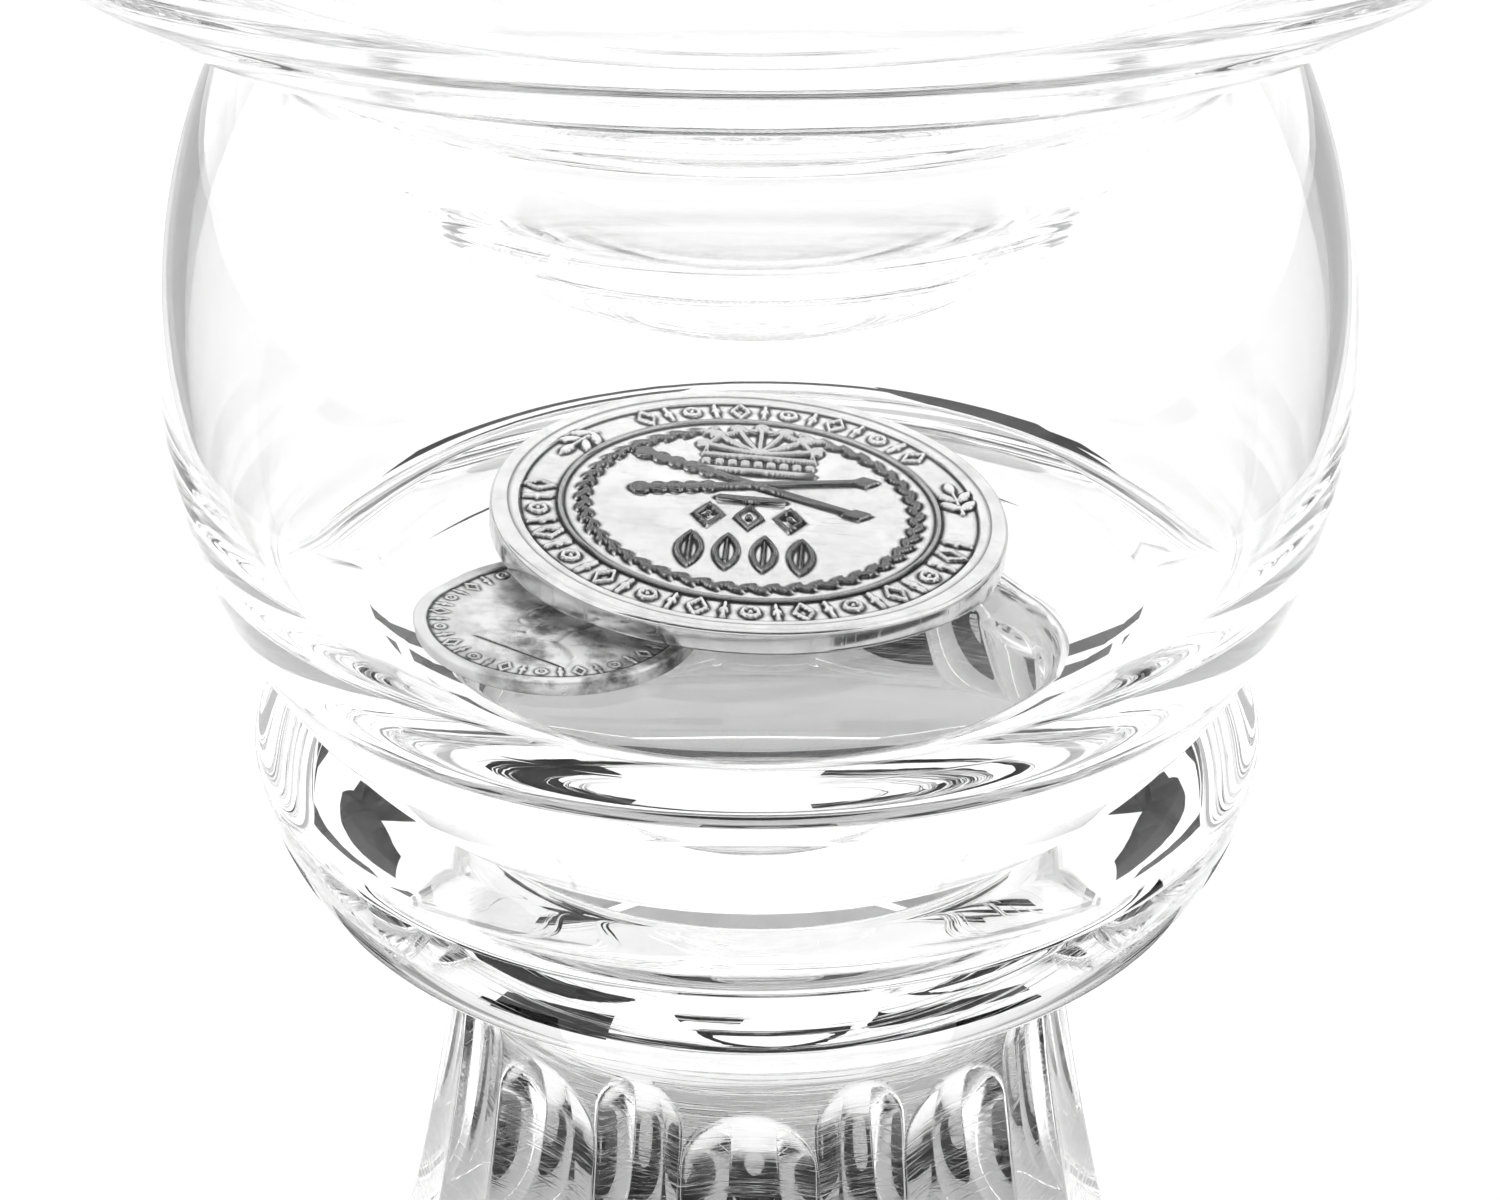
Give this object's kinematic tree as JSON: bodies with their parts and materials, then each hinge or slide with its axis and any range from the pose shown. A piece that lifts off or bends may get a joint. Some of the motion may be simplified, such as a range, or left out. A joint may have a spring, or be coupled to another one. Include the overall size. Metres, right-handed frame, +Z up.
{
  "type": "hollow-knop coin goblet",
  "caption": "Clear glass pedestal goblet with a round bowl and a hollow spherical knop that holds a loose medal and a small coin above a rounded collar, fluted stem and disc foot.",
  "frame": {"origin": "centre of the foot's underside, on the surface the goblet stands on", "axes": "+Z up along the goblet's axis, towards the lip; -Y towards the side the medal's face is read from; +X to the right"},
  "size_m": [0.1058, 0.1058, 0.2062],
  "materials": {
    "clear_glass": "clear polished lead glass with fine rubbing scratches",
    "cut_glass": "clear cut glass, flutes with fine wheel marks across them",
    "bright_silver": "struck silver, bright on the high parts and dark in the recesses, hairline scratches",
    "tarnished_silver": "worn silver with patchy grey tarnish"
  },
  "bodies": {
    "glass": {"foot": "clear_glass", "stem": "cut_glass", "collar": "clear_glass", "knop_base": "clear_glass", "knop_shell": "clear_glass", "bowl": "clear_glass"},
    "loose_coin": {"coin": "tarnished_silver"},
    "loose_medal": {"medal": "bright_silver"}
  },
  "joints": [
    {"name": "coin_swirl", "type": "hinge", "parent": "glass", "child": "loose_coin", "pos_m": [0, 0, 0.0889], "axis": [0, 0, 1], "continuous": true},
    {"name": "medal_hop", "type": "slide", "parent": "loose_coin", "child": "loose_medal", "axis": [0, 0, 1], "range_m": [0, 0.01]}
  ]
}
